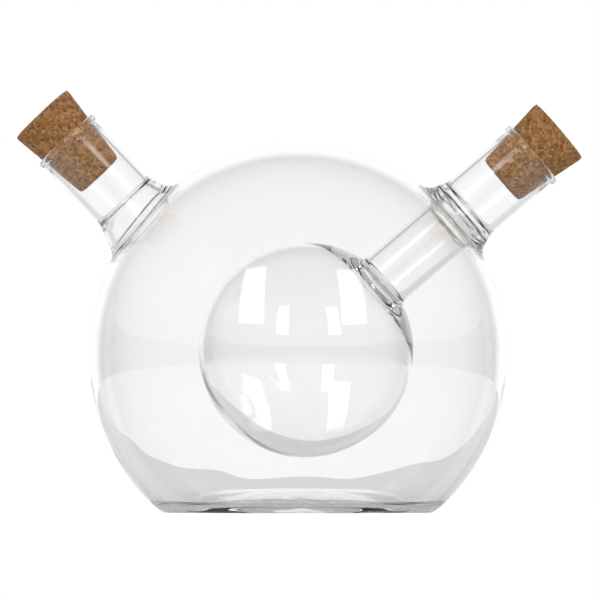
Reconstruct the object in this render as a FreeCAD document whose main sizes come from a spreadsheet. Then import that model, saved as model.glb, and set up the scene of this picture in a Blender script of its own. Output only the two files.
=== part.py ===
import FreeCAD
import Part
import Sketcher
import math
import os

# Two chamber cruet for oil and vinegar, in clear glass worked at the lamp.
# The globe is blown, flattened at the base and drawn out into two short conical collars.
# A smaller bulb hangs inside the globe; its tube is sealed to a ring in the right collar.
# A straight neck with a rolled lip is welded on each collar, so the left neck serves the globe
# and the right neck serves the bulb. Each neck holds a tapered stopper of pressed cork.
# Lengths are in millimetres and angles in degrees. The origin is the centre of the base,
# on the table, with +Z up and +X towards the right neck.

SIZES = (
    # the globe
    ("globe_radius", 62.5),
    ("globe_height", 47.5),
    ("globe_wall", 2.0),
    ("base_thickness", 3.0),
    ("base_corner", 5.5),
    ("base_inner_corner", 6.0),
    # both necks
    ("neck_radius", 10.1),
    ("neck_wall", 1.35),
    ("lip_radius", 11.0),
    ("lip_bead", 1.1),
    ("mouth_edge", 0.3),
    ("collar_angle", 19.4),
    ("root_flare", 5.0),
    ("root_inner_round", 1.8),
    # the left neck, whose axis runs a little below the middle of the globe: how far the collar
    # rises above the globe up to the weld, and the neck's length from the weld to the rim
    ("left_tilt", 46.5),
    ("left_offset", 6.2),
    ("left_collar", 6.5),
    ("left_length", 25.6),
    # the right neck, square to the globe
    ("right_tilt", 40.5),
    ("right_collar", 5.0),
    ("right_length", 25.2),
    # the ring seal in the right collar: its sloped top and the stub that reaches inside
    ("seal_step", 1.6),
    ("seal_stub", 3.0),
    ("seal_round", 1.6),
    # the inner bulb and its tube; the bulb is thickest where the tube was drawn out of it
    ("tube_radius", 8.5),
    ("tube_wall", 1.3),
    ("bulb_radius", 32.1),
    ("bulb_wall", 1.6),
    ("bulb_out", 2.6),
    ("bulb_drop", 0.65),
    ("hollow_back", 0.8),
    ("shoulder_round", 1.5),
    ("shoulder_inner_round", 0.8),
    # the stoppers: the radius of each end, the length, and how deep they sit in the neck
    ("left_cork_narrow", 7.6),
    ("left_cork_wide", 10.55),
    ("left_cork_length", 25.5),
    ("left_cork_depth", 15.1),
    ("right_cork_narrow", 7.95),
    ("right_cork_wide", 10.75),
    ("right_cork_length", 23.0),
    ("right_cork_depth", 12.8),
    ("cork_edge", 0.4),
    ("cork_clearance", 0.05),
)

NEAR = 0.001
CAVITY_RADIUS = "(sizes.globe_radius - sizes.globe_wall)"
BORE = "(sizes.neck_radius - sizes.neck_wall)"
TUBE_BORE = "(sizes.tube_radius - sizes.tube_wall)"
SEAL_JOINT = f"({CAVITY_RADIUS} - sizes.seal_stub)"

doc = FreeCAD.newDocument("cruet")
sheet = doc.addObject("Spreadsheet::Sheet", "sizes")
for row, (alias, number) in enumerate(SIZES, start=1):
    sheet.set(f"A{row}", alias)
    sheet.set(f"B{row}", str(number))
    sheet.setAlias(f"B{row}", alias)
doc.recompute()


def value(expression):
    """Number that an expression over the sheet gives now."""
    return float(sheet.evalExpression(expression))


def new_body(label):
    """Empty body with its label, which names its file."""
    body = doc.addObject("PartDesign::Body", label)
    body.Label = label
    return body


def plane_of(body, role):
    """Origin plane of a body, such as XZ_Plane."""
    return [item for item in body.Origin.OriginFeatures if item.Role == role][0]


def arc_between(start, end, radius, turn):
    """Short arc from start to end; turn is +1 to the left of the way and -1 to the right."""
    chord = end.sub(start)
    rise = math.sqrt(max(radius ** 2 - (chord.Length / 2) ** 2, 0.0))
    side = FreeCAD.Vector(-chord.y, chord.x, 0).normalize()
    centre = start + chord * 0.5 + side * (rise * turn)
    angles = [math.atan2(point.y - centre.y, point.x - centre.x) for point in (start, end)]
    if turn < 0:
        angles.reverse()
    return Part.ArcOfCircle(Part.Circle(centre, FreeCAD.Vector(0, 0, 1), radius), *angles)


def place_point(sketch, index, point, kind, expression):
    """Ties one coordinate of a point of the sketch to an expression, or puts it on the axis."""
    if expression == "0":
        axis = -2 if kind == "DistanceX" else -1
        sketch.addConstraint(Sketcher.Constraint("PointOnObject", index, point, axis))
        return
    number = sketch.addConstraint(Sketcher.Constraint(kind, -1, 1, index, point, value(expression)))
    sketch.setExpression(f"Constraints[{number}]", expression)


def draw(body, name, role, outline, frame=None):
    """Closed, fully dimensioned sketch.

    outline lists (x, y, arc) for each corner, with x and y as expressions. arc is None for a
    straight edge to the next corner, or (radius, turn, x of its centre) for an arc.
    frame gives the expressions that place the sketch in its plane: x, y and angle.
    """
    sketch = body.newObject("Sketcher::SketchObject", name)
    sketch.AttachmentSupport = (plane_of(body, role), [""])
    sketch.MapMode = "FlatFace"
    if frame:
        spin = FreeCAD.Rotation(FreeCAD.Vector(0, 0, 1), value(frame[2]))
        place = FreeCAD.Vector(value(frame[0]), value(frame[1]), 0)
        sketch.AttachmentOffset = FreeCAD.Placement(place, spin)
        sketch.setExpression("AttachmentOffset.Base.x", frame[0])
        sketch.setExpression("AttachmentOffset.Base.y", frame[1])
        sketch.setExpression("AttachmentOffset.Rotation.Angle", frame[2])
    corners = [FreeCAD.Vector(value(x), value(y), 0) for x, y, _ in outline]
    ends = []
    for index, (_, _, arc) in enumerate(outline):
        start = corners[index]
        end = corners[(index + 1) % len(corners)]
        if arc is None:
            sketch.addGeometry(Part.LineSegment(start, end), False)
            ends.append((1, 2))
        else:
            sketch.addGeometry(arc_between(start, end, value(arc[0]), arc[1]), False)
            ends.append((1, 2) if arc[1] > 0 else (2, 1))
    for index in range(len(outline)):
        following = (index + 1) % len(outline)
        sketch.addConstraint(Sketcher.Constraint(
            "Coincident", index, ends[index][1], following, ends[following][0]))
    for index, (x, y, arc) in enumerate(outline):
        place_point(sketch, index, ends[index][0], "DistanceX", x)
        place_point(sketch, index, ends[index][0], "DistanceY", y)
        if arc is not None:
            # point 3 of an arc is its centre
            place_point(sketch, index, 3, "DistanceX", arc[2])
    return sketch


def turn_profile(body, kind, name, sketch):
    """Full turn of a sketch about its own vertical axis, as a Revolution or a Groove."""
    before = body.Shape.Volume if body.Tip else 0.0
    feature = body.newObject(f"PartDesign::{kind}", name)
    feature.Profile = sketch
    feature.ReferenceAxis = (sketch, ["V_Axis"])
    feature.Angle = 360
    doc.recompute()
    grew = body.Shape.Volume > before
    if grew != (kind == "Revolution"):
        raise RuntimeError(f"{name} did not change {body.Label} as it should")
    return feature


def edges_between(shape, first, second):
    """Names of the edges where a face of the first kind meets one of the second.

    A kind is a surface class with its radius, or with None for any.
    """
    def fits(face, kind):
        if not isinstance(face.Surface, kind[0]):
            return False
        return kind[1] is None or abs(face.Surface.Radius - kind[1]) < NEAR

    names = []
    for number, edge in enumerate(shape.Edges, start=1):
        faces = shape.ancestorsOfType(edge, Part.Face)
        if len(faces) != 2:
            continue
        if any(fits(faces[a], first) and fits(faces[b], second) for a, b in ((0, 1), (1, 0))):
            names.append(f"Edge{number}")
    return names


def dress_edges(body, kind, name, edges, size):
    """Fillet or Chamfer on the named edges of the body as it is now."""
    if not edges:
        raise RuntimeError(f"{name} found no edge on {body.Label}")
    base = body.Tip
    feature = body.newObject(f"PartDesign::{kind}", name)
    feature.Base = (base, edges)
    feature.setExpression("Radius" if kind == "Fillet" else "Size", size)
    doc.recompute()
    return feature


def round_edges(body, name, edges, radius):
    """Fillet, as hot glass flows into at a joint or a rim."""
    return dress_edges(body, "Fillet", name, edges, radius)


LEFT_FRAME = (
    "-sizes.left_offset * sin(sizes.left_tilt)",
    "sizes.globe_height - sizes.left_offset * cos(sizes.left_tilt)",
    "90 - sizes.left_tilt",
)
RIGHT_FRAME = ("0", "sizes.globe_height", "sizes.right_tilt - 90")


def bulb_frame(out):
    """Frame along the tube, beside its axis, whose origin is so far out from the globe's middle."""
    return (
        f"({out}) * cos(sizes.right_tilt) + sizes.bulb_drop * sin(sizes.right_tilt)",
        f"sizes.globe_height + ({out}) * sin(sizes.right_tilt)"
        " - sizes.bulb_drop * cos(sizes.right_tilt)",
        "sizes.right_tilt - 90",
    )


def weld(side):
    """Distance along a neck's axis, from the middle of the globe to the weld on the collar."""
    return f"(sizes.globe_radius + sizes.{side}_collar)"


def rim(side):
    """Distance along a neck's axis, from the middle of the globe to the rim."""
    return f"({weld(side)} + sizes.{side}_length)"


def cork_slope(side):
    """Radius that a stopper gains for each millimetre towards its wide end."""
    return (f"((sizes.{side}_cork_wide - sizes.{side}_cork_narrow)"
            f" / sizes.{side}_cork_length)")


def add_collar(body, side, frame):
    """Solid cone from the middle of the globe that narrows to the neck at the weld."""
    sketch = draw(body, f"{side}_collar_profile", "XZ_Plane", (
        ("0", "0", None),
        (f"sizes.neck_radius + tan(sizes.collar_angle) * {weld(side)}", "0", None),
        ("sizes.neck_radius", weld(side), None),
        ("0", weld(side), None),
    ), frame)
    return turn_profile(body, "Revolution", f"{side}_collar", sketch)


def build_globe():
    """Globe with its flat base, the two collars and the ring seal."""
    body = new_body("outer_globe")
    foot = "sqrt(sizes.globe_radius ^ 2 - sizes.globe_height ^ 2)"
    globe = draw(body, "globe_profile", "YZ_Plane", (
        ("0", "0", None),
        (foot, "0", ("sizes.globe_radius", 1, "0")),
        ("0", "sizes.globe_height + sizes.globe_radius", None),
    ))
    turn_profile(body, "Revolution", "globe", globe)
    sphere = (Part.Sphere, value("sizes.globe_radius"))
    base_edge = edges_between(body.Shape, sphere, (Part.Plane, None))
    round_edges(body, "base_rounding", base_edge, "sizes.base_corner")

    add_collar(body, "left", LEFT_FRAME)
    add_collar(body, "right", RIGHT_FRAME)
    root_edges = edges_between(body.Shape, sphere, (Part.Cone, None))
    round_edges(body, "root_flares", root_edges, "sizes.root_flare")

    inner_foot = f"sqrt({CAVITY_RADIUS} ^ 2 - (sizes.globe_height - sizes.base_thickness) ^ 2)"
    cavity = draw(body, "cavity_profile", "YZ_Plane", (
        ("0", "sizes.base_thickness", None),
        (inner_foot, "sizes.base_thickness", (CAVITY_RADIUS, 1, "0")),
        ("0", f"sizes.globe_height + {CAVITY_RADIUS}", None),
    ))
    turn_profile(body, "Groove", "cavity", cavity)
    inner_sphere = (Part.Sphere, value(CAVITY_RADIUS))
    floor_edge = edges_between(body.Shape, inner_sphere, (Part.Plane, None))
    round_edges(body, "floor_rounding", floor_edge, "sizes.base_inner_corner")

    stub = draw(body, "seal_profile", "XZ_Plane", (
        ("0", SEAL_JOINT, None),
        ("sizes.tube_radius", SEAL_JOINT, None),
        ("sizes.tube_radius", "sizes.globe_radius", None),
        ("0", "sizes.globe_radius", None),
    ), RIGHT_FRAME)
    turn_profile(body, "Revolution", "seal", stub)

    left_bore = draw(body, "left_bore_profile", "XZ_Plane", (
        ("0", "0", None),
        (BORE, "0", None),
        (BORE, weld("left"), None),
        ("0", weld("left"), None),
    ), LEFT_FRAME)
    turn_profile(body, "Groove", "left_bore", left_bore)
    right_bore = draw(body, "right_bore_profile", "XZ_Plane", (
        ("0", "0", None),
        (TUBE_BORE, "0", None),
        (TUBE_BORE, f"{weld('right')} - sizes.seal_step", None),
        (BORE, weld("right"), None),
        ("0", weld("right"), None),
    ), RIGHT_FRAME)
    turn_profile(body, "Groove", "right_bore", right_bore)

    left_edges = edges_between(body.Shape, inner_sphere, (Part.Cylinder, value(BORE)))
    round_edges(body, "left_root_rounding", left_edges, "sizes.root_inner_round")
    stub_side = (Part.Cylinder, value("sizes.tube_radius"))
    seal_edges = edges_between(body.Shape, inner_sphere, stub_side)
    round_edges(body, "seal_rounding", seal_edges, "sizes.seal_round")
    return body


def build_neck(side, frame):
    """Neck from the weld to its rolled lip. The mouth widens with the taper of the stopper."""
    body = new_body(f"{side}_neck_tube")
    bead_axis = "(sizes.lip_radius - sizes.lip_bead)"
    below = f"sqrt(sizes.lip_bead ^ 2 - (sizes.neck_radius - {bead_axis}) ^ 2)"
    bead_foot = f"{rim(side)} - sizes.lip_bead - {below}"
    slope = cork_slope(side)
    narrow_end = f"({rim(side)} - sizes.{side}_cork_depth)"
    seat_low = f"{narrow_end} + ({BORE} - sizes.cork_clearance - sizes.{side}_cork_narrow) / {slope}"
    mouth = f"sizes.{side}_cork_narrow + sizes.cork_clearance + {slope} * sizes.{side}_cork_depth"
    wall = draw(body, f"{side}_neck_profile", "XZ_Plane", (
        (BORE, weld(side), None),
        ("sizes.neck_radius", weld(side), None),
        ("sizes.neck_radius", bead_foot, ("sizes.lip_bead", 1, bead_axis)),
        (bead_axis, rim(side), None),
        (mouth, rim(side), None),
        (BORE, seat_low, None),
    ), frame)
    turn_profile(body, "Revolution", f"{side}_wall", wall)
    mouth_edges = edges_between(body.Shape, (Part.Plane, None), (Part.Cone, None))
    round_edges(body, "mouth_rounding", mouth_edges, "sizes.mouth_edge")
    return body


def build_bulb():
    """Bulb and the tube that carries it, up to the flat end that meets the ring seal."""
    body = new_body("inner_bulb")
    bulb = draw(body, "bulb_profile", "XZ_Plane", (
        ("0", "-sizes.bulb_radius", ("sizes.bulb_radius", 1, "0")),
        ("0", "sizes.bulb_radius", None),
    ), bulb_frame("sizes.bulb_out"))
    turn_profile(body, "Revolution", "bulb", bulb)
    tube = draw(body, "tube_profile", "XZ_Plane", (
        ("0", "sizes.bulb_out", None),
        ("sizes.tube_radius", "sizes.bulb_out", None),
        ("sizes.tube_radius", SEAL_JOINT, None),
        ("0", SEAL_JOINT, None),
    ), RIGHT_FRAME)
    turn_profile(body, "Revolution", "tube", tube)
    sphere = (Part.Sphere, value("sizes.bulb_radius"))
    shoulder = edges_between(body.Shape, sphere, (Part.Cylinder, value("sizes.tube_radius")))
    round_edges(body, "shoulder_rounding", shoulder, "sizes.shoulder_round")

    inside = "(sizes.bulb_radius - sizes.bulb_wall)"
    hollow = draw(body, "bulb_hollow_profile", "XZ_Plane", (
        ("0", f"-{inside}", (inside, 1, "0")),
        ("0", inside, None),
    ), bulb_frame("sizes.bulb_out - sizes.hollow_back"))
    turn_profile(body, "Groove", "bulb_hollow", hollow)
    bore = draw(body, "tube_bore_profile", "XZ_Plane", (
        ("0", "sizes.bulb_out", None),
        (TUBE_BORE, "sizes.bulb_out", None),
        (TUBE_BORE, f"{SEAL_JOINT} + sizes.tube_wall", None),
        ("0", f"{SEAL_JOINT} + sizes.tube_wall", None),
    ), RIGHT_FRAME)
    turn_profile(body, "Groove", "tube_bore", bore)
    throat = edges_between(body.Shape, (Part.Sphere, value(inside)), (Part.Cylinder, value(TUBE_BORE)))
    round_edges(body, "throat_rounding", throat, "sizes.shoulder_inner_round")
    return body


def build_stopper(side, frame):
    """Tapered cork, narrow end down the neck."""
    body = new_body(f"{side}_stopper")
    low = f"{rim(side)} - sizes.{side}_cork_depth"
    high = f"{low} + sizes.{side}_cork_length"
    outline = (
        ("0", low, None),
        (f"sizes.{side}_cork_narrow", low, None),
        (f"sizes.{side}_cork_wide", high, None),
        ("0", high, None),
    )
    sketch = draw(body, f"{side}_cork_profile", "XZ_Plane", outline, frame)
    turn_profile(body, "Revolution", f"{side}_cork", sketch)
    ends = edges_between(body.Shape, (Part.Cone, None), (Part.Plane, None))
    dress_edges(body, "Chamfer", f"{side}_cork_edges", ends, "sizes.cork_edge")
    return body


bodies = [
    build_globe(),
    build_bulb(),
    build_neck("left", LEFT_FRAME),
    build_neck("right", RIGHT_FRAME),
    build_stopper("left", LEFT_FRAME),
    build_stopper("right", RIGHT_FRAME),
]
doc.recompute()

for item in doc.Objects:
    if "Invalid" in item.State or "Error" in item.State:
        raise RuntimeError(f"{item.Name} failed: {item.State}")
os.makedirs("parts", exist_ok=True)
for body in bodies:
    shape = body.Shape
    if shape.isNull() or not shape.isValid() or len(shape.Solids) != 1:
        raise RuntimeError(f"{body.Label} is not one valid solid")
    shape.exportStep(f"parts/{body.Label}.step")
    box = shape.BoundBox
    print(f"{body.Label}: {shape.Volume:.1f} mm3, x {box.XMin:.2f} to {box.XMax:.2f},"
          f" z {box.ZMin:.2f} to {box.ZMax:.2f}")
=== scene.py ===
"""Looks of a two chamber glass cruet for oil and vinegar.

A flattened glass globe holds a smaller bulb, whose tube is sealed into the right neck.
Each of the two slanted necks is closed by a tapered stopper of pressed cork.
Lengths are in millimetres until a mesh is made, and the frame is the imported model's own.
"""

import logging
import math
from dataclasses import dataclass
from enum import Enum

import bmesh
import bpy
import numpy as np
from mathutils import Euler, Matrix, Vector
from mathutils.geometry import delaunay_2d_cdt


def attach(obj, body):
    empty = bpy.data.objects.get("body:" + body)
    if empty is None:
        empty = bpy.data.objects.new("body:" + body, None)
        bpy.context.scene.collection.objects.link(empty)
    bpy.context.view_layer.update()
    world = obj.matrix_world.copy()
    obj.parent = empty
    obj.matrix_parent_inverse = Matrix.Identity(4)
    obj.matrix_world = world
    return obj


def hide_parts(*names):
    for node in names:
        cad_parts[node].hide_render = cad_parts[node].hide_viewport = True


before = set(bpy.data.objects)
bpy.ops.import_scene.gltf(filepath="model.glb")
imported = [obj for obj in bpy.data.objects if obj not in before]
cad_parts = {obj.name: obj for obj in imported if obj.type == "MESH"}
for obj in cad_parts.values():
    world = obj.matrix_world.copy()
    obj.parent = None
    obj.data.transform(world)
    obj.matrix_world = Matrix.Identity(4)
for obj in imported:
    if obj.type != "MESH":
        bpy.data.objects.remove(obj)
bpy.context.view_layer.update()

LOG = logging.getLogger("cruet")
MM = 0.001
AROUND = 144
GLOBE_MIDDLE = 47.5
# the waves of a blown wall fade in over the margin, and out between the two heights
WAVE_MARGIN = 8.0
WAVE_FADING = 35.0
WAVE_TOP = 50.0

Array = np.ndarray


def linear(code: str) -> tuple[float, float, float, float]:
    """Turns an sRGB hex colour into Blender's linear colour.

    Args:
        code: colour such as "#A0B1C2".

    Returns:
        Linear red, green, blue and an alpha of 1.
    """
    parts = [int(code[i:i + 2], 16) / 255 for i in (1, 3, 5)]
    low = [c / 12.92 if c <= 0.04045 else ((c + 0.055) / 1.055) ** 2.4 for c in parts]
    return (*low, 1.0)


def add_node(
    tree: bpy.types.NodeTree,
    kind: str,
    settings: dict | None = None,
    links: dict | None = None,
) -> bpy.types.Node:
    """Adds one node with its settings and links.

    Args:
        tree: the tree it goes into.
        kind: Blender's name for the node type.
        settings: attribute names, or input names and numbers, with their values.
        links: input names or numbers, with the output socket that feeds each.

    Returns:
        The new node.
    """
    made = tree.nodes.new(kind)
    for name, value in (settings or {}).items():
        if isinstance(name, int) or name in made.inputs:
            made.inputs[name].default_value = value
        else:
            setattr(made, name, value)
    for name, source in (links or {}).items():
        tree.links.new(source, made.inputs[name])
    return made


def blank_material(name: str) -> tuple[bpy.types.Material, bpy.types.NodeTree]:
    """Makes a material whose node tree is empty.

    Args:
        name: its name.

    Returns:
        The material and its tree.
    """
    material = bpy.data.materials.new(name)
    material.use_nodes = True
    material.node_tree.nodes.clear()
    return material, material.node_tree


def link_object(name: str, data: bpy.types.ID) -> bpy.types.Object:
    """Puts an object into the scene.

    Args:
        name: its name.
        data: its mesh or camera.

    Returns:
        The object.
    """
    made = bpy.data.objects.new(name, data)
    bpy.context.scene.collection.objects.link(made)
    return made


def bend(centre: Array, start: Array, end: Array, steps: int) -> list[Array]:
    """Stations on the short arc about a centre, one point for each azimuth.

    Args:
        centre: (azimuths, 2) centres as distance from the axis and distance along it.
        start: (azimuths, 2) first points, which are left out of the result.
        end: (azimuths, 2) last points.
        steps: number of stations.

    Returns:
        The stations after the start, the last of them at the end.
    """
    first = np.arctan2(*(start - centre).T[::-1])
    turn = np.arctan2(*(end - centre).T[::-1]) - first
    turn = (turn + np.pi) % (2 * np.pi) - np.pi
    reach = np.linalg.norm(start - centre, axis=1)
    stations = []
    for step in range(1, steps + 1):
        angle = first + turn * step / steps
        stations.append(centre + reach[:, None] * np.stack([np.cos(angle), np.sin(angle)], 1))
    return stations


def straight(start: Array, end: Array, steps: int) -> list[Array]:
    """Evenly spaced stations on a line, without its start.

    Args:
        start: (azimuths, 2) first points.
        end: (azimuths, 2) last points.
        steps: number of stations.

    Returns:
        The stations after the start.
    """
    return [start + (end - start) * step / steps for step in range(1, steps + 1)]


def ring_at(radius: float, height: float) -> Array:
    """(azimuths, 2) station with one radius and one height all round."""
    return np.tile([float(radius), float(height)], (AROUND, 1))


def blown_waves(unit: Array) -> Array:
    """Slow waves that blowing leaves in the wall of a sphere.

    Args:
        unit: (points, 3) directions from the middle of the sphere.

    Returns:
        Height of the wave at each point, from -1 to 1.
    """
    leaning = np.sin(13.0 * unit[:, 0] + 2.0 * np.sin(7.0 * unit[:, 2]))
    return leaning * np.cos(9.0 * unit[:, 1] + 11.0 * unit[:, 2])


@dataclass(frozen=True)
class SphereCut:
    """Sphere as the half planes about a neck's axis cut it.

    The axis may pass beside the middle of the sphere, so the cut changes with the azimuth.
    """

    radius: float
    beside: float = 0.0
    height: float = 0.0

    def circles(self) -> tuple[Array, Array]:
        """Finds the circles that the half planes cut.

        Returns:
            Their centres (azimuths, 2) and radii (azimuths).
        """
        angle = np.arange(AROUND) * 2 * np.pi / AROUND
        centre = np.stack([-self.beside * np.cos(angle), np.full(AROUND, self.height)], 1)
        return centre, np.sqrt(self.radius ** 2 - (self.beside * np.sin(angle)) ** 2)

    def at(self, radius: Array | float) -> Array:
        """Finds the sphere at a distance from the axis, on the side where the neck leaves it.

        Args:
            radius: distance from the axis, one for all azimuths or one for each.

        Returns:
            The station (azimuths, 2).
        """
        centre, reach = self.circles()
        out = np.broadcast_to(radius, (AROUND,))
        rise = np.sqrt(reach ** 2 - (out - centre[:, 0]) ** 2)
        return np.stack([out, centre[:, 1] + rise], 1)

    def over(self, start: Array | float, end: Array | float, steps: int) -> list[Array]:
        """Stations over the sphere from one distance from the axis to another.

        Args:
            start: first distance.
            end: last distance.
            steps: number of steps between them.

        Returns:
            The stations, with both ends.
        """
        return [self.at(start + (end - start) * i / steps) for i in range(steps + 1)]

    def fillet(
        self, line: float, size: float, slope: float = 0.0, top: float = 0.0
    ) -> tuple[Array, Array, Array]:
        """Rounding between the sphere and a tube or a cone about the axis.

        Args:
            line: radius of the tube, or of the cone at its top.
            size: radius of the rounding, below zero where it lies inside the sphere.
            slope: radius that the cone gains for each millimetre down.
            top: height of the cone's top.

        Returns:
            Its centre, its tangent station on the sphere and its tangent station on the tube.
        """
        centre, reach = self.circles()
        down = np.array([slope, -1.0]) / math.hypot(slope, 1.0)
        out = np.array([1.0, slope]) / math.hypot(slope, 1.0)
        start = np.array([line, top]) + abs(size) * out - centre
        along = start @ down
        beyond = along ** 2 - (start ** 2).sum(axis=1) + (reach + size) ** 2
        steps = -along - np.sqrt(beyond)
        middle = centre + start + steps[:, None] * down
        on_sphere = centre + (middle - centre) * (reach / (reach + size))[:, None]
        return middle, on_sphere, middle - abs(size) * out


@dataclass(frozen=True)
class NeckAxis:
    """Straight middle line of a neck, in the plane that halves the cruet."""

    heading: int
    tilt: float
    beside: float
    middle: float = GLOBE_MIDDLE

    def along(self) -> Array:
        """Unit vector out of the neck."""
        lean = math.radians(self.tilt)
        return np.array([self.heading * math.cos(lean), 0.0, math.sin(lean)])

    def across(self) -> Array:
        """Unit vector square to the neck, from which azimuths count."""
        lean = math.radians(self.tilt)
        return np.array([math.sin(lean), 0.0, -self.heading * math.cos(lean)])

    def origin(self) -> Array:
        """Point of the axis nearest to the middle of the globe."""
        return np.array([0.0, 0.0, self.middle]) + self.beside * self.across()

    def place(self, station: Array) -> Array:
        """Turns a station into points in space.

        Args:
            station: (azimuths, 2) distances from the axis and along it.

        Returns:
            (azimuths, 3) points in millimetres.
        """
        angle = np.arange(len(station)) * 2 * np.pi / len(station)
        outward = np.cos(angle)[:, None] * self.across() + np.sin(angle)[:, None] * [0, 1, 0]
        return self.origin() + station[:, 1:] * self.along() + station[:, :1] * outward

    def distance(self, points: Array) -> tuple[Array, Array]:
        """Measures points against the axis.

        Args:
            points: (points, 3) in millimetres.

        Returns:
            Their distances from the axis and along it.
        """
        offset = points - self.origin()
        length = offset @ self.along()
        return np.linalg.norm(offset - length[:, None] * self.along(), axis=1), length


class Skin:
    """Closed surface put together from rings of points."""

    def __init__(self) -> None:
        """Starts with no points and no faces."""
        self.points: list[Array] = []
        self.faces: list[tuple[int, ...]] = []
        self.count = 0

    def ring(self, points: Array) -> Array:
        """Adds a ring.

        Args:
            points: (points, 3) in millimetres.

        Returns:
            Their numbers in the surface.
        """
        self.points.append(points)
        numbers = np.arange(self.count, self.count + len(points))
        self.count += len(points)
        return numbers

    def strip(self, first: Array, second: Array) -> None:
        """Joins two rings of the same length with four sided faces.

        Args:
            first: numbers of one ring.
            second: numbers of the other.
        """
        size = len(first)
        for i in range(size):
            j = (i + 1) % size
            self.faces.append((first[i], first[j], second[j], second[i]))

    def run(self, start: Array, rings: list[Array]) -> Array:
        """Joins a ring to a list of further rings.

        Args:
            start: numbers of the ring that is already there.
            rings: points of each further ring.

        Returns:
            Numbers of the last ring.
        """
        for points in rings:
            following = self.ring(points)
            self.strip(start, following)
            start = following
        return start

    def close(self, ring: Array, tip: Array) -> None:
        """Closes a ring with a fan to one point.

        Args:
            ring: numbers of the ring.
            tip: the point.
        """
        point = self.ring(tip.reshape(1, 3))[0]
        for i, number in enumerate(ring):
            self.faces.append((number, ring[(i + 1) % len(ring)], point))

    def fill_sphere(
        self,
        centre: Array,
        radius: float,
        base: Array,
        holes: list[tuple[Array, NeckAxis, float]],
        gap: float,
        uneven: float,
    ) -> None:
        """Covers a sphere with even triangles between a ring near its foot and round holes.

        The triangles are the best ones on the sphere, because a projection from the foot
        keeps circles round.

        Args:
            centre: middle of the sphere.
            radius: its radius.
            base: numbers of the ring that bounds it below.
            holes: numbers of each hole's ring, with its axis and its radius.
            gap: distance between points.
            uneven: height of the waves in the lower wall, which fade out at its edges.
        """
        known = np.concatenate(self.points)
        clear = 0.6 * gap
        total = int(4 * math.pi * radius ** 2 / (gap ** 2 * math.sqrt(3) / 2))
        number = np.arange(total) + 0.5
        rise = 1 - 2 * number / total
        angle = number * math.pi * (3 - math.sqrt(5))
        flat = np.sqrt(1 - rise ** 2)
        unit = np.stack([flat * np.cos(angle), flat * np.sin(angle), rise], 1)
        spread = centre + radius * unit
        height = spread[:, 2]
        floor = known[base][:, 2].mean()
        keep = height > floor + clear
        free = np.clip((height - floor) / WAVE_MARGIN, 0, 1)
        free *= np.clip((WAVE_TOP - height) / (WAVE_TOP - WAVE_FADING), 0, 1)
        for _, axis, size in holes:
            out, length = axis.distance(spread)
            keep &= (out > size + clear) | (length < 0)
            free *= np.where(length < 0, 1.0, np.clip((out - size) / WAVE_MARGIN, 0, 1))
        spread += (uneven * free * blown_waves(unit))[:, None] * unit
        inner = self.ring(spread[keep])
        loops = [base] + [ring for ring, _, _ in holes]
        numbers = np.concatenate(loops + [inner])
        points = np.concatenate(self.points)[numbers]
        unit = (points - centre) / radius
        plane = unit[:, :2] / (1 + unit[:, 2:])
        edges = []
        start = 0
        for loop in loops:
            size = len(loop)
            edges += [(start + i, start + (i + 1) % size) for i in range(size)]
            start += size
        nearest = 1e-7
        result = delaunay_2d_cdt([Vector(p) for p in plane], edges, [], 0, nearest, True)
        source = [ids[0] for ids in result[3]]
        for face in result[2]:
            corners = [source[i] for i in face]
            middle = points[corners].mean(axis=0)
            inside = middle[2] < floor
            for _, axis, size in holes:
                out, length = axis.distance(middle[None])
                inside |= bool(out[0] < size and length[0] > 0)
            if not inside:
                self.faces.append(tuple(int(numbers[i]) for i in corners))

    def mesh(self, name: str) -> bpy.types.Mesh:
        """Makes the mesh in metres, checked to be closed and turned outwards.

        Args:
            name: name of the mesh.

        Returns:
            The mesh, shaded smooth.
        """
        made = bpy.data.meshes.new(name)
        points = np.concatenate(self.points) * MM
        made.from_pydata(points.tolist(), [], self.faces)
        work = bmesh.new()
        work.from_mesh(made)
        bmesh.ops.recalc_face_normals(work, faces=work.faces)
        if work.calc_volume(signed=True) < 0:
            bmesh.ops.reverse_faces(work, faces=work.faces)
        open_edges = sum(not edge.is_manifold for edge in work.edges)
        volume = work.calc_volume(signed=True) / MM ** 3
        work.to_mesh(made)
        work.free()
        LOG.info("%s: %d faces, %d open edges, %.0f mm3", name, len(made.polygons), open_edges,
                 volume)
        for polygon in made.polygons:
            polygon.use_smooth = True
        return made


class Finish(Enum):
    """Names of two finishes; nothing in the script reads them."""

    GLASS = "clear_glass"
    CORK = "pressed_cork"


@dataclass(frozen=True)
class LampGlass:
    """Borosilicate glass worked in a flame.

    Melting leaves it bare and mirror smooth, so the eye sees only bent light and reflections.
    A trace of iron turns a long way through it, as along the foot, to a faint green grey.
    """

    name: str = "lampworked_borosilicate"
    ior: float = 1.473
    tint: str = "#EDF0EE"
    absorbed_per_metre: float = 8.0

    def build(self) -> bpy.types.Material:
        """Makes the material.

        Returns:
            The material.
        """
        material, tree = blank_material(self.name)
        glass = add_node(tree, "ShaderNodeBsdfPrincipled", {
            "Base Color": (1.0, 1.0, 1.0, 1.0),
            "Roughness": 0.0,
            "IOR": self.ior,
            "Transmission Weight": 1.0,
        })
        depth = add_node(tree, "ShaderNodeVolumeAbsorption", {
            "Color": linear(self.tint),
            "Density": self.absorbed_per_metre,
        })
        add_node(tree, "ShaderNodeOutputMaterial", {}, {
            "Surface": glass.outputs["BSDF"],
            "Volume": depth.outputs["Volume"],
        })
        return material


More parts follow.
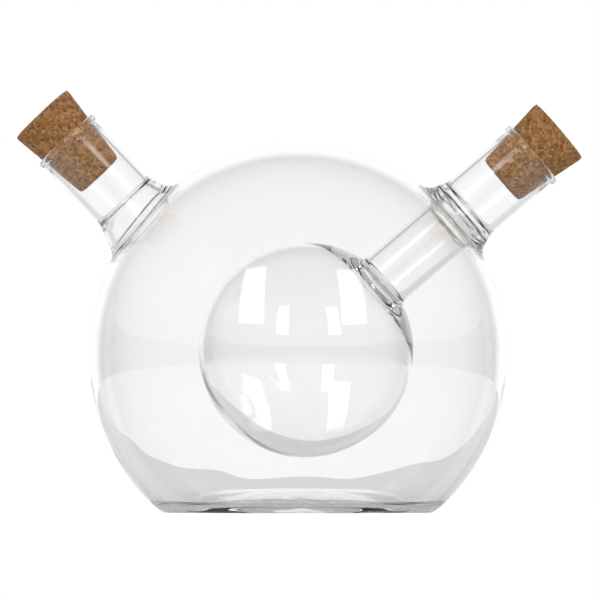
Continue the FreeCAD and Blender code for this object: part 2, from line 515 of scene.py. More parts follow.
@dataclass(frozen=True)
class PressedCork:
    """Agglomerated cork: granules of bark pressed and glued into a block, then turned.

    Granules differ in tone, dark bark dust marks their joints, and the turned skin is dry and
    matt. The sizes of granules, specks and grain are not measured on a real cork. They were
    matched to the photo, where a pixel is 0.3 mm.
    """

    name: str = "pressed_cork"
    granule_mm: float = 0.9
    uneven_mm: float = 1.1
    speck_mm: float = 0.8
    speck_chance: tuple[float, float] = (0.62, 0.8)
    speck_edge: tuple[float, float] = (0.5, 0.25)
    grain_mm: float = 0.6
    grain_tone: tuple[float, float] = (0.72, 1.26)
    relief_mm: float = 0.25
    body_tone: float = 0.45
    dark: str = "#87592F"
    body: str = "#9A6D40"
    pale: str = "#B58B5C"
    bark: str = "#643A1D"
    roughness: float = 0.86

    def build(self) -> bpy.types.Material:
        """Makes the material.

        Returns:
            The material.
        """
        material, tree = blank_material(self.name)
        place = add_node(tree, "ShaderNodeTexCoord").outputs["Object"]
        bent = add_node(tree, "ShaderNodeTexNoise", {
            "Scale": 1 / (self.granule_mm * MM), "Detail": 2.0}, {"Vector": place})
        centred = add_node(tree, "ShaderNodeVectorMath", {
            "operation": "SUBTRACT", 1: (0.5, 0.5, 0.5)}, {0: bent.outputs["Color"]})
        warp = add_node(tree, "ShaderNodeVectorMath", {
            "operation": "SCALE", "Scale": self.uneven_mm * MM}, {0: centred.outputs["Vector"]})
        where = add_node(tree, "ShaderNodeVectorMath", {"operation": "ADD"},
                         {0: place, 1: warp.outputs["Vector"]}).outputs["Vector"]
        granules = add_node(tree, "ShaderNodeTexVoronoi", {"Scale": 1 / (self.granule_mm * MM)},
                            {"Vector": where})
        tone = add_node(tree, "ShaderNodeSeparateColor", {}, {"Color": granules.outputs["Color"]})
        ramp = add_node(tree, "ShaderNodeValToRGB", {}, {"Fac": tone.outputs["Red"]})
        stops = ramp.color_ramp.elements
        stops[0].color = linear(self.dark)
        stops[1].color = linear(self.pale)
        middle = stops.new(self.body_tone)
        middle.color = linear(self.body)
        fine = add_node(tree, "ShaderNodeTexNoise", {
            "Scale": 1 / (self.grain_mm * MM), "Detail": 4.0, "Roughness": 0.65},
            {"Vector": place})
        grain = add_node(tree, "ShaderNodeMapRange", {
            "From Min": 0.3, "From Max": 0.7, "To Min": self.grain_tone[0],
            "To Max": self.grain_tone[1]}, {"Value": fine.outputs["Fac"]})
        toned = add_node(tree, "ShaderNodeVectorMath", {"operation": "SCALE"},
                         {0: ramp.outputs["Color"], "Scale": grain.outputs["Result"]})
        specks = add_node(tree, "ShaderNodeTexVoronoi", {"Scale": 1 / (self.speck_mm * MM)},
                          {"Vector": where})
        chance = add_node(tree, "ShaderNodeSeparateColor", {}, {"Color": specks.outputs["Color"]})
        chosen = add_node(tree, "ShaderNodeMapRange", {
            "From Min": self.speck_chance[0], "From Max": self.speck_chance[1]},
            {"Value": chance.outputs["Green"]})
        near = add_node(tree, "ShaderNodeMapRange", {
            "From Min": self.speck_edge[0], "From Max": self.speck_edge[1]},
            {"Value": specks.outputs["Distance"]})
        speck = add_node(tree, "ShaderNodeMath", {"operation": "MULTIPLY"},
                         {0: chosen.outputs["Result"], 1: near.outputs["Result"]})
        dusted = add_node(tree, "ShaderNodeMix", {"data_type": "RGBA", "B": linear(self.bark)},
                          {"Factor": speck.outputs["Value"], "A": toned.outputs["Vector"]})
        relief = add_node(tree, "ShaderNodeBump", {
            "Strength": 0.5, "Distance": self.relief_mm * MM}, {"Height": fine.outputs["Fac"]})
        cork = add_node(tree, "ShaderNodeBsdfPrincipled", {"Roughness": self.roughness,
                                                           "Specular IOR Level": 0.3},
                        {"Base Color": dusted.outputs[2], "Normal": relief.outputs["Normal"]})
        add_node(tree, "ShaderNodeOutputMaterial", {}, {"Surface": cork.outputs["BSDF"]})
        return material


@dataclass
class Neck:
    """Glass neck with its rolled lip and the taper that the stopper is pushed into."""

    axis: NeckAxis
    weld: float
    rim: float
    cork_narrow: float
    cork_wide: float
    cork_length: float
    cork_depth: float
    radius: float = 10.1
    bore: float = 8.75
    lip: float = 11.0
    bead: float = 1.1
    edge: float = 0.3
    flare: float = 5.0
    collar_angle: float = 19.4
    cork_gap: float = 0.05
    weld_bead: float = 0.4
    bead_top: float = 0.5
    bead_reach: float = 3.0
    bead_width: float = 0.6

    def slope(self) -> float:
        """Radius that the stopper gains for each millimetre."""
        return (self.cork_wide - self.cork_narrow) / self.cork_length

    def outside(self, globe: SphereCut, patch: float) -> list[Array]:
        """Stations from the edge of the patch on the globe up the neck and over the lip.

        Args:
            globe: the outer face of the globe.
            patch: radius of the patch about the neck.

        Returns:
            Stations that end at the top of the lip.
        """
        slope = math.tan(math.radians(self.collar_angle))
        middle, root, foot = globe.fillet(self.radius, self.flare, slope, self.weld)
        rings = globe.over(patch, root[:, 0], 6)
        rings += bend(middle, root, foot, 10)
        top = ring_at(self.radius, self.weld)
        rings += straight(foot, top, 8)
        bead_axis = self.lip - self.bead
        drop = math.sqrt(self.bead ** 2 - (self.radius - bead_axis) ** 2)
        foot = ring_at(self.radius, self.rim - self.bead - drop)
        rings += straight(top, foot, 18)
        crown = ring_at(bead_axis, self.rim)
        rings += bend(ring_at(bead_axis, self.rim - self.bead), foot, crown, 12)
        return rings

    def inside(self) -> list[Array]:
        """Follows the bore, from the top of the lip down past the bead of the weld.

        Returns:
            Stations, the first of them on the lip.
        """
        mouth = self.cork_narrow + self.cork_gap + self.slope() * self.cork_depth
        taper = (self.bore - self.cork_gap - self.cork_narrow) / self.slope()
        rings = [ring_at(mouth + self.edge, self.rim)]
        rings += bend(ring_at(mouth + self.edge, self.rim - self.edge), rings[-1],
                      ring_at(mouth, self.rim - self.edge), 4)
        rings += straight(rings[-1], ring_at(self.bore, self.rim - self.cork_depth + taper), 8)
        rings += straight(rings[-1], ring_at(self.bore, self.weld + self.bead_top), 8)
        steps = 20
        for step in range(1, steps + 1):
            height = self.bead_top - (self.bead_top + self.bead_reach) * step / steps
            off = (height + self.bead_reach / 2) / self.bead_width
            swell = self.weld_bead * math.exp(-off ** 2)
            rings.append(ring_at(self.bore - swell, self.weld + height))
        return rings


@dataclass
class Vessel:
    """All the glass, welded in one piece: the globe, the bulb, its tube and the two necks."""

    left: Neck
    right: Neck
    radius: float = 62.47
    middle: float = GLOBE_MIDDLE
    wall: float = 2.0
    uneven: float = 0.02
    patch: float = 21.0
    gap: float = 2.0
    tube: float = 8.5
    tube_bore: float = 7.2
    seal_foot: float = 61.5
    seal_round: float = 1.6
    root_round: float = 1.8
    bulb: float = 32.1
    bulb_wall: float = 0.6
    shoulder_wall: float = 2.5
    shoulder_angle: float = 16.0
    shoulder_spread: float = 15.0
    pole_wall: float = 1.0
    pole_spread: float = 28.0
    bulb_out: float = 2.6
    bulb_beside: float = -0.65
    shoulder: float = 1.5
    throat: float = 0.8
    base_corner: float = 5.5
    floor: float = 3.0
    floor_corner: float = 6.0
    floor_ripple: float = 0.1
    # the middle of the base is pushed up, less outside than inside, and stays flat on top
    dish: float = 1.3
    floor_rise: float = 4.0
    push_up_share: float = 0.93

    def bulb_thickness(self, from_tube: Array) -> Array:
        """Finds the wall of the bulb, thick where it was drawn out and at the pole.

        Args:
            from_tube: angles from its tube, in radians.

        Returns:
            The wall at each angle.
        """
        degrees = np.degrees(from_tube)
        shoulder = (self.shoulder_wall - self.bulb_wall) * np.exp(
            -((degrees - self.shoulder_angle) / self.shoulder_spread) ** 2)
        pole = (self.pole_wall - self.bulb_wall) * np.exp(
            -((180 - degrees) / self.pole_spread) ** 2)
        return self.bulb_wall + shoulder + pole

    def bulb_rings(self, cut: SphereCut, start: Array, inner: bool) -> tuple[list[Array], Array]:
        """Rings over a bulb, from the tube to the pole away from it.

        Args:
            cut: the bulb's outer or inner face at the shoulder.
            start: station where the tube's rounding meets it.
            inner: whether the face follows the thickness of the wall.

        Returns:
            Points of the rings, and the pole.
        """
        axis = self.right.axis
        centre = axis.origin() + cut.height * axis.along() - cut.beside * axis.across()
        first = (axis.place(start) - centre) / cut.radius
        pole = -axis.along()
        reach = np.arccos(np.clip(first @ pole, -1, 1))[:, None]
        steps = 60
        rings = []
        for step in range(1, steps + 1):
            share = step / steps
            point = np.sin((1 - share) * reach) * first + np.sin(share * reach) * pole
            point = point / np.sin(reach)
            if step == steps:
                point = pole[None]
            radius = np.full(len(point), cut.radius)
            if inner:
                angle = np.arccos(np.clip(-point @ pole, -1, 1))
                radius = self.bulb - self.bulb_thickness(angle)
            rings.append(centre + radius[:, None] * point)
        return rings[:-1], rings[-1][0]

    def ripple(self, points: Array, out: float, size: float) -> Array:
        """Raises points of the floor in the uneven waves that pressing it flat leaves.

        Args:
            points: (points, 3) in millimetres.
            out: radius at which the waves have faded out.
            size: their mean height.

        Returns:
            The raised points.
        """
        x, y = points[:, 0], points[:, 1]
        fade = np.clip(1 - (x ** 2 + y ** 2) / out ** 2, 0, 1)
        # two slow waves a few centimetres long, and a small one of about a centimetre
        waves = np.sin(x / 5.3 + 0.8 * np.sin(y / 7.0))
        waves = waves + np.sin(y / 4.1 + 0.6 * np.sin(x / 9.0) + 1.0)
        waves += 0.3 * np.sin(x / 1.7 + 2.0 * np.sin(y / 3.3)) * np.sin(y / 1.9 + x / 6.1)
        lifted = points.copy()
        lifted[:, 2] += size * fade * (1 + 0.5 * waves)
        return lifted

    def base_rings(
        self, reach: float, corner: float, level: float, dish: float, ripple: float
    ) -> tuple[list[Array], Array]:
        """Rings of the base, from the sphere over the rounded corner to the pushed up middle.

        Args:
            reach: radius of the sphere that the base closes.
            corner: radius of the rounded corner.
            level: height of the ring that it stands on, or of the floor above that.
            dish: how far the flat top of the push-up rises above it.
            ripple: mean height of the waves on it.

        Returns:
            Points of the rings, and the middle.
        """
        number, corner_steps, flat_steps = 160, 8, 36
        angle = np.arange(number) * 2 * np.pi / number
        turn = np.stack([np.cos(angle), np.sin(angle)], 1)
        rise = level + corner
        out = math.sqrt((reach - corner) ** 2 - (rise - self.middle) ** 2)
        share = reach / (reach - corner)
        touch = np.array([out * share, self.middle + (rise - self.middle) * share])
        first = math.atan2(touch[1] - rise, touch[0] - out)
        profile = []
        for step in range(corner_steps + 1):
            swing = first + (-math.pi / 2 - first) * step / corner_steps
            profile.append((out + corner * math.cos(swing), rise + corner * math.sin(swing)))
        for step in range(1, flat_steps):
            radius = out * (1 - step / flat_steps)
            share = max(0.0, 1 - (radius / (self.push_up_share * out)) ** 6) ** 2
            profile.append((radius, level + dish * share))
        rings = []
        for radius, height in profile:
            points = np.concatenate([turn * radius, np.full((number, 1), height)], 1)
            rings.append(self.ripple(points, out, ripple))
        middle = self.ripple(np.array([[0.0, 0.0, level + dish]]), out, ripple)
        return rings, middle[0]

    def build(self) -> bpy.types.Mesh:
        """Makes the closed skin of the glass, outer and inner faces in one surface.

        Returns:
            The mesh.
        """
        skin = Skin()
        hollow = self.radius - self.wall
        centre = np.array([0.0, 0.0, self.middle])
        outer_patches = []
        inner_patches = []
        for neck in (self.left, self.right):
            globe = SphereCut(self.radius, neck.axis.beside)
            cavity = SphereCut(hollow, neck.axis.beside)
            stations = neck.outside(globe, self.patch)
            edge = skin.ring(neck.axis.place(stations[0]))
            outer_patches.append((edge, neck.axis, self.patch))
            top = skin.run(edge, [neck.axis.place(item) for item in stations[1:]])
            if neck is self.left:
                slope = math.tan(math.radians(neck.collar_angle))
                foot = neck.weld - neck.bead_reach
                middle, on_sphere, on_cone = cavity.fillet(neck.bore, self.root_round, slope, foot)
                stations = neck.inside()
                stations += straight(stations[-1], on_cone, 8)
                stations += bend(middle, on_cone, on_sphere, 8)
                stations += cavity.over(on_sphere[:, 0], self.patch, 7)[1:]
                last = skin.run(top, [neck.axis.place(item) for item in stations])
                inner_patches.append((last, neck.axis, self.patch))
                continue
            stations = neck.inside()
            seal_top = neck.weld - neck.bead_reach
            steps = 12
            for step in range(1, steps + 1):
                share = step / steps
                ease = share * share * (3 - 2 * share)
                stations.append(ring_at(neck.bore + (self.tube_bore - neck.bore) * ease,
                                        seal_top + (self.seal_foot - seal_top) * share))
            inside = SphereCut(self.bulb - self.shoulder_wall, self.bulb_beside, self.bulb_out)
            middle, on_sphere, on_tube = inside.fillet(self.tube_bore, self.throat)
            stations += straight(stations[-1], on_tube, 16) + bend(middle, on_tube, on_sphere, 6)
            last = skin.run(top, [neck.axis.place(item) for item in stations])
            rings, pole = self.bulb_rings(inside, on_sphere, True)
            skin.close(skin.run(last, rings), pole)

            middle, on_sphere, on_tube = cavity.fillet(self.tube, -self.seal_round)
            stations = cavity.over(self.patch, on_sphere[:, 0], 7)
            stations += bend(middle, on_sphere, on_tube, 8)
            outside = SphereCut(self.bulb, self.bulb_beside, self.bulb_out)
            low_middle, low_sphere, low_tube = outside.fillet(self.tube, self.shoulder)
            stations += straight(on_tube, low_tube, 16) + bend(low_middle, low_tube, low_sphere, 8)
            edge = skin.ring(neck.axis.place(stations[0]))
            inner_patches.append((edge, neck.axis, self.patch))
            last = skin.run(edge, [neck.axis.place(item) for item in stations[1:]])
            rings, pole = self.bulb_rings(outside, low_sphere, False)
            skin.close(skin.run(last, rings), pole)

        for reach, corner, level, dish, ripple, patches, uneven in (
            (self.radius, self.base_corner, 0.0, self.dish, 0.0, outer_patches, 0.0),
            (hollow, self.floor_corner, self.floor, self.floor_rise, self.floor_ripple,
             inner_patches, self.uneven),
        ):
            rings, tip = self.base_rings(reach, corner, level, dish, ripple)
            edge = skin.ring(rings[0])
            skin.close(skin.run(edge, rings[1:]), tip)
            skin.fill_sphere(centre, reach, edge, patches, self.gap, uneven)
        return skin.mesh("welded_glass")

    def dress(self, glass: bpy.types.Material) -> bpy.types.Object:
        """Makes the piece that stands for the four glass nodes.

        Args:
            glass: its material.

        Returns:
            The piece, riding on the glass.
        """
        mesh = self.build()
        mesh.materials.append(glass)
        piece = link_object("welded_glass", mesh)
        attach(piece, "glass")
        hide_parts("outer_globe", "inner_bulb", "left_neck_tube", "right_neck_tube")
        return piece


@dataclass
class Stopper:
    """Tapered cork, turned from pressed granules, with grooves, pits and chipped rims.

    Pairs of numbers are where a Map Range starts and ends.
    """

    neck: Neck
    name: str
    body: str
    node: str
    seed: int
    granule: float = 1.5
    groove: float = 0.08
    groove_width: float = 0.14
    pit: float = 0.4
    pit_chance: tuple[float, float] = (0.9, 0.96)
    pit_wall: tuple[float, float] = (0.04, 0.3)
    chip: float = 0.5
    chip_chance: tuple[float, float] = (0.52, 0.68)
    chip_scale: float = 0.7
    edge: float = 0.4
    edge_reach: float = 3.0
    edge_wear: float = 0.6

    def tree(self) -> bpy.types.NodeTree:
        """Makes the node tree that turns a cone into a rough cork.

        Returns:
            The tree.
        """
        tree = bpy.data.node_groups.new(f"{self.name}_tree", "GeometryNodeTree")
        sockets = (
            ("Narrow Radius", "NodeSocketFloat"), ("Wide Radius", "NodeSocketFloat"),
            ("Length", "NodeSocketFloat"), ("Edge", "NodeSocketFloat"),
            ("Granule", "NodeSocketFloat"), ("Groove", "NodeSocketFloat"),
            ("Pit", "NodeSocketFloat"), ("Chip", "NodeSocketFloat"),
            ("Seed", "NodeSocketFloat"), ("Place", "NodeSocketVector"),
            ("Turn", "NodeSocketRotation"), ("Material", "NodeSocketMaterial"),
        )
        for name, kind in sockets:
            tree.interface.new_socket(name, in_out="INPUT", socket_type=kind)
        tree.interface.new_socket("Cork", in_out="OUTPUT", socket_type="NodeSocketGeometry")
        given = add_node(tree, "NodeGroupInput").outputs

        def maths(operation: str, first: object, second: object) -> bpy.types.NodeSocket:
            """Adds a sum of two sockets or numbers and returns its result."""
            pair = {0: first, 1: second}
            fixed = {k: v for k, v in pair.items() if isinstance(v, (int, float))}
            wired = {k: v for k, v in pair.items() if k not in fixed}
            settings = {"operation": operation, **fixed}
            return add_node(tree, "ShaderNodeMath", settings, wired).outputs[0]

        cone = add_node(tree, "GeometryNodeMeshCone", {
            "fill_type": "TRIANGLE_FAN", "Vertices": 168, "Side Segments": 64, "Fill Segments": 24,
        }, {"Radius Top": given["Wide Radius"], "Radius Bottom": given["Narrow Radius"],
            "Depth": given["Length"]})
        where = add_node(tree, "GeometryNodeInputPosition").outputs[0]
        split = add_node(tree, "ShaderNodeSeparateXYZ", {}, {0: where}).outputs
        level = add_node(tree, "ShaderNodeCombineXYZ", {}, {"X": split["X"], "Y": split["Y"]})
        out = add_node(tree, "ShaderNodeVectorMath", {"operation": "LENGTH"},
                       {0: level.outputs[0]})
        up = split["Z"]
        share = maths("DIVIDE", up, given["Length"])
        span = maths("SUBTRACT", given["Wide Radius"], given["Narrow Radius"])
        wall = maths("ADD", given["Narrow Radius"], maths("MULTIPLY", share, span))
        below_skin = maths("SUBTRACT", wall, out.outputs["Value"])
        to_end = maths("MINIMUM", up, maths("SUBTRACT", given["Length"], up))
        near = maths("MAXIMUM", below_skin, to_end)
        shift = add_node(tree, "ShaderNodeCombineXYZ", {},
                         {"X": given["Seed"], "Z": given["Seed"]})
        keep = add_node(tree, "GeometryNodeStoreNamedAttribute", {
            "data_type": "FLOAT", "domain": "POINT", "Name": "rim_distance"},
            {"Geometry": cone.outputs["Mesh"], "Value": near})
        moved = add_node(tree, "GeometryNodeTransform", {}, {
            "Geometry": keep.outputs["Geometry"], "Translation": given["Place"],
            "Rotation": given["Turn"]})
        lookup = add_node(tree, "ShaderNodeVectorMath", {"operation": "ADD"},
                          {0: where, 1: shift.outputs[0]}).outputs["Vector"]
        size = maths("DIVIDE", 1.0, given["Granule"])
        joints = add_node(tree, "ShaderNodeTexVoronoi", {"feature": "DISTANCE_TO_EDGE"},
                          {"Vector": lookup, "Scale": size})
        furrow = add_node(tree, "ShaderNodeMapRange", {
            "From Min": 0.0, "From Max": self.groove_width, "To Min": 1.0, "To Max": 0.0},
            {"Value": joints.outputs["Distance"]})
        cells = add_node(tree, "ShaderNodeTexVoronoi", {}, {"Vector": lookup, "Scale": size})
        luck = add_node(tree, "FunctionNodeSeparateColor", {}, {"Color": cells.outputs["Color"]})
        lost = add_node(tree, "ShaderNodeMapRange", {
            "From Min": self.pit_chance[0], "From Max": self.pit_chance[1]},
            {"Value": luck.outputs["Blue"]})
        hollow = add_node(tree, "ShaderNodeMapRange", {
            "From Min": self.pit_wall[0], "From Max": self.pit_wall[1]},
            {"Value": joints.outputs["Distance"]})
        pits = maths("MULTIPLY", lost.outputs[0], hollow.outputs[0])
        rim = add_node(tree, "GeometryNodeInputNamedAttribute", {
            "data_type": "FLOAT", "Name": "rim_distance"}).outputs[0]
        closeness = add_node(tree, "ShaderNodeMapRange", {
            "From Min": 0.0, "To Min": 1.0, "To Max": 0.0},
            {"Value": rim, "From Max": maths("MULTIPLY", given["Edge"], self.edge_reach)})
        rough = add_node(tree, "ShaderNodeTexNoise", {"Detail": 2.0}, {
            "Vector": lookup, "Scale": maths("DIVIDE", self.chip_scale, given["Granule"])})
        broken = add_node(tree, "ShaderNodeMapRange", {
            "From Min": self.chip_chance[0], "From Max": self.chip_chance[1]},
            {"Value": rough.outputs["Fac"]})
        chips = maths("MULTIPLY", closeness.outputs[0],
                      maths("ADD", self.edge_wear, broken.outputs[0]))
        depth = maths("ADD", maths("MULTIPLY", furrow.outputs[0], given["Groove"]),
                      maths("ADD", maths("MULTIPLY", pits, given["Pit"]),
                            maths("MULTIPLY", chips, given["Chip"])))
        normal = add_node(tree, "GeometryNodeInputNormal").outputs[0]
        inwards = add_node(tree, "ShaderNodeVectorMath", {"operation": "SCALE"},
                           {0: normal, "Scale": maths("MULTIPLY", depth, -1.0)})
        rough_skin = add_node(tree, "GeometryNodeSetPosition", {}, {
            "Geometry": moved.outputs["Geometry"], "Offset": inwards.outputs["Vector"]})
        solid = add_node(tree, "GeometryNodeRealizeInstances", {}, {
            "Geometry": rough_skin.outputs["Geometry"]})
        dressed = add_node(tree, "GeometryNodeSetMaterial", {}, {
            "Geometry": solid.outputs["Geometry"], "Material": given["Material"]})
        add_node(tree, "NodeGroupOutput", {}, {"Cork": dressed.outputs["Geometry"]})
        return tree

    def dress(self, cork: bpy.types.Material) -> bpy.types.Object:
        """Makes the piece that stands for the cork's node.

        Args:
            cork: its material.

        Returns:
            The piece, riding on its own body.
        """
        neck = self.neck
        foot = neck.axis.place(ring_at(0.0, neck.rim - neck.cork_depth))[0] * MM
        lean = neck.axis.heading * math.radians(90 - neck.axis.tilt)
        values = {
            "Narrow Radius": neck.cork_narrow * MM, "Wide Radius": neck.cork_wide * MM,
            "Length": neck.cork_length * MM, "Edge": self.edge * MM, "Granule": self.granule * MM,
            "Groove": self.groove * MM, "Pit": self.pit * MM, "Chip": self.chip * MM,
            "Seed": float(self.seed), "Place": tuple(foot), "Turn": Euler((0.0, lean, 0.0)),
            "Material": cork,
        }
        source = f"{self.name}_source"
        base = link_object(source, bpy.data.meshes.new(source))
        modifier = base.modifiers.new("cork", "NODES")
        modifier.node_group = self.tree()
        for item in modifier.node_group.interface.items_tree:
            if item.in_out == "INPUT":
                modifier[item.identifier] = values[item.name]
        base.update_tag()
        graph = bpy.context.evaluated_depsgraph_get()
        mesh = bpy.data.meshes.new_from_object(base.evaluated_get(graph))
        bpy.data.objects.remove(base)
        mesh.name = self.name
        piece = link_object(self.name, mesh)
        LOG.info("%s: %d faces", self.name, len(mesh.polygons))
        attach(piece, self.body)
        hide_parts(self.node)
        return piece


@dataclass(frozen=True)
class Softbox:
    """Leaning diffused panel that glass shows as a window with four corners."""

    name: str
    corners: tuple[tuple[float, float, float], ...]
    reach: float = 1.2
    glow: float = 4.0

    def build(self, middle: Vector) -> bpy.types.Object:
        """Makes the panel, which shines on the cruet but is out of the picture.

        Args:
            middle: point that the directions of the corners start from.

        Returns:
            The panel.
        """
        material, tree = blank_material(self.name)
        light = add_node(tree, "ShaderNodeEmission", {"Color": (1.0, 1.0, 1.0, 1.0),
                                                      "Strength": self.glow})
        add_node(tree, "ShaderNodeOutputMaterial", {}, {"Surface": light.outputs[0]})
        mesh = bpy.data.meshes.new(self.name)
        points = [middle + Vector(way).normalized() * self.reach for way in self.corners]
        mesh.from_pydata([tuple(point) for point in points], [], [(0, 1, 2, 3)])
        mesh.materials.append(material)
        panel = link_object(self.name, mesh)
        panel.visible_camera = False
        return panel


@dataclass
class Studio:
    """White studio: a pale table, a pale room, two softboxes and the camera.

    Levels are strengths of light, where 1 is white. Pairs of numbers are the Z or Y of a
    direction, between which one level turns into the next.
    """

    table_reach: float = 0.5
    table_sides: int = 180
    table_colour: str = "#E8E8E8"
    table_press: float = 0.05
    table_camera_lift: float = 0.5
    table_mirror_lift: float = 0.08
    backdrop_level: float = 1.0
    backdrop_edge: tuple[float, float] = (0.74, 0.88)
    ceiling_level: float = 0.45
    wall_level: float = 0.25
    wall_top: tuple[float, float] = (0.12, 0.4)
    straight_share: float = 0.8
    straight_edge: tuple[float, float] = (0.2, 0.6)
    fill_level: float = 0.72
    through_glass_level: float = 1.9
    bounces: int = 24
    eye_distance: float = 3000.0
    eye_height: float = 12.6
    aim_height: float = 63.65
    aim_side: float = 0.6
    picture_width: float = 179.4
    softboxes: tuple[Softbox, ...] = (
        Softbox("left_softbox", ((-0.523, -0.810, 0.266), (-0.309, -0.913, 0.266),
                                 (-0.264, -0.633, 0.728), (-0.429, -0.571, 0.700))),
        Softbox("right_softbox", ((0.402, -0.877, 0.254), (0.600, -0.757, 0.255),
                                  (0.488, -0.544, 0.681), (0.323, -0.635, 0.700))),
    )

    def ray_tests(
        self, tree: bpy.types.NodeTree
    ) -> tuple[bpy.types.bpy_prop_collection, bpy.types.NodeSocket]:
        """Adds the tests for the way that a ray came.

        Args:
            tree: the tree they go into.

        Returns:
            The outputs of Light Path, and the test for gloss or glass.
        """
        path = add_node(tree, "ShaderNodeLightPath").outputs
        mirrored = add_node(tree, "ShaderNodeMath", {"operation": "MAXIMUM"},
                            {0: path["Is Glossy Ray"], 1: path["Is Transmission Ray"]})
        return path, mirrored.outputs[0]

    def room(self) -> None:
        """Makes the world: white backdrop, dark wall along the horizon, paler ceiling."""
        world = bpy.data.worlds.new("studio_room")
        bpy.context.scene.world = world
        world.use_nodes = True
        tree = world.node_tree
        tree.nodes.clear()
        path, mirrored = self.ray_tests(tree)
        way = add_node(tree, "ShaderNodeTexCoord").outputs["Generated"]
        parts = add_node(tree, "ShaderNodeSeparateXYZ", {}, {0: way}).outputs
        above = add_node(tree, "ShaderNodeMapRange", {
            "interpolation_type": "SMOOTHSTEP", "From Min": self.wall_top[0],
            "From Max": self.wall_top[1], "To Min": self.wall_level,
            "To Max": self.ceiling_level}, {"Value": parts["Z"]})
        behind = add_node(tree, "ShaderNodeMapRange", {
            "interpolation_type": "SMOOTHSTEP", "From Min": self.backdrop_edge[0],
            "From Max": self.backdrop_edge[1]}, {"Value": parts["Y"]})
        room = add_node(tree, "ShaderNodeMix", {"data_type": "FLOAT", "B": self.backdrop_level},
                        {"Factor": behind.outputs[0], "A": above.outputs[0]})
        # what glass shows straight through it, from every side, is the white background
        straight_through = add_node(tree, "ShaderNodeMath", {"operation": "LESS_THAN", 1: 0.5},
                                    {0: path["Glossy Depth"]})
        steep = add_node(tree, "ShaderNodeMath", {"operation": "ABSOLUTE"}, {0: parts["Z"]})
        band = add_node(tree, "ShaderNodeMapRange", {
            "interpolation_type": "SMOOTHSTEP", "From Min": self.straight_edge[0],
            "From Max": self.straight_edge[1], "To Min": self.straight_share,
            "To Max": 0.0}, {"Value": steep.outputs[0]})
        whitened = add_node(tree, "ShaderNodeMath", {"operation": "MULTIPLY"},
                            {0: straight_through.outputs[0], 1: band.outputs[0]})
        grey = add_node(tree, "ShaderNodeMix", {"data_type": "FLOAT", "B": self.backdrop_level},
                        {"Factor": whitened.outputs[0], "A": room.outputs[0]})
        # light that a cork gathers through its neck, to make up for what the glass turns back
        gathered = add_node(tree, "ShaderNodeMath", {"operation": "GREATER_THAN", 1: 0.5},
                            {0: path["Diffuse Depth"]})
        lit = add_node(tree, "ShaderNodeMix", {
            "data_type": "FLOAT", "B": self.through_glass_level},
            {"Factor": gathered.outputs[0], "A": grey.outputs[0]})
        dim = add_node(tree, "ShaderNodeMix", {"data_type": "FLOAT", "A": self.fill_level},
                       {"Factor": mirrored, "B": lit.outputs[0]})
        level = add_node(tree, "ShaderNodeMix", {"data_type": "FLOAT", "B": 1.0},
                         {"Factor": path["Is Camera Ray"], "A": dim.outputs[0]})
        glow = add_node(tree, "ShaderNodeBackground", {"Color": (1.0, 1.0, 1.0, 1.0)},
                        {"Strength": level.outputs[0]})
        add_node(tree, "ShaderNodeOutputWorld", {}, {"Surface": glow.outputs[0]})

    def table(self) -> bpy.types.Object:
        """Makes the pale table top, which keeps the cruet's soft shadow.

        Returns:
            The table top.
        """
        material, tree = blank_material("pale_table")
        path, mirrored = self.ray_tests(tree)
        matt = add_node(tree, "ShaderNodeBsdfDiffuse", {"Color": linear(self.table_colour)})
        mirror_lift = add_node(tree, "ShaderNodeMath", {
            "operation": "MULTIPLY", 1: self.table_mirror_lift}, {0: mirrored})
        lift = add_node(tree, "ShaderNodeMath", {
            "operation": "MULTIPLY_ADD", 1: self.table_camera_lift},
            {0: path["Is Camera Ray"], 2: mirror_lift.outputs[0]})
        glow = add_node(tree, "ShaderNodeEmission", {"Color": (1.0, 1.0, 1.0, 1.0)},
                        {"Strength": lift.outputs[0]})
        both = add_node(tree, "ShaderNodeAddShader", {}, {0: matt.outputs[0], 1: glow.outputs[0]})
        add_node(tree, "ShaderNodeOutputMaterial", {}, {"Surface": both.outputs[0]})
        mesh = bpy.data.meshes.new("table_top")
        angles = [i * 2 * math.pi / self.table_sides for i in range(self.table_sides)]
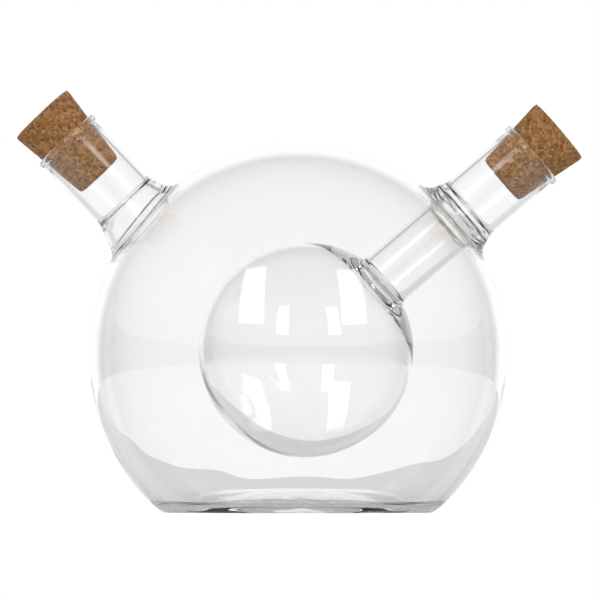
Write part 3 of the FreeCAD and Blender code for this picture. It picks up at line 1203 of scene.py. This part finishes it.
        # a hair above the lowest edge, so the foot passes on the table's light and doesn't
        # mirror its own dark inside
        level = self.table_press * MM
        mesh.from_pydata([(self.table_reach * math.cos(a), self.table_reach * math.sin(a), level)
                          for a in angles], [], [tuple(range(self.table_sides))])
        mesh.materials.append(material)
        table = link_object("table_top", mesh)
        return table

    def camera(self) -> bpy.types.Object:
        """Makes the camera at the height of a low eye, with a long lens.

        Returns:
            The camera.
        """
        data = bpy.data.cameras.new("camera")
        data.sensor_width = 36.0
        data.lens = data.sensor_width * self.eye_distance / self.picture_width
        data.clip_end = 50.0
        camera = link_object("camera", data)
        eye = Vector((self.aim_side, -self.eye_distance, self.eye_height)) * MM
        aim = Vector((self.aim_side, 0.0, self.aim_height)) * MM
        camera.location = eye
        camera.rotation_euler = (aim - eye).to_track_quat("-Z", "Y").to_euler()
        bpy.context.scene.camera = camera
        return camera

    def build(self) -> None:
        """Makes the table, the room, the softboxes and the camera."""
        self.room()
        self.table()
        for box in self.softboxes:
            box.build(Vector((0.0, 0.0, GLOBE_MIDDLE * MM)))
        self.camera()
        scene = bpy.context.scene
        scene.view_settings.view_transform = "Standard"
        # light runs to and fro in the base many times before it leaves the glass
        scene.cycles.max_bounces = self.bounces
        scene.cycles.glossy_bounces = self.bounces
        scene.cycles.transmission_bounces = self.bounces


def main() -> None:
    """Builds the cruet and the studio, and reports each piece."""
    logging.basicConfig(level=logging.INFO, format="%(name)s: %(message)s")
    left = Neck(
        axis=NeckAxis(heading=-1, tilt=46.5, beside=-6.2), weld=69.0, rim=94.6,
        cork_narrow=7.6, cork_wide=10.55, cork_length=25.5, cork_depth=15.1,
    )
    right = Neck(
        axis=NeckAxis(heading=1, tilt=40.5, beside=0.0), weld=67.5, rim=92.7,
        cork_narrow=7.95, cork_wide=10.75, cork_length=23.0, cork_depth=12.8,
    )
    vessel = Vessel(left, right)
    glass = vessel.dress(LampGlass().build())
    cork = PressedCork().build()
    corks = [
        Stopper(left, "left_cork_stopper", "left_cork", "left_stopper", seed=3).dress(cork),
        Stopper(right, "right_cork_stopper", "right_cork", "right_stopper", seed=8).dress(cork),
    ]
    Studio().build()


if __name__ == "__main__":
    main()
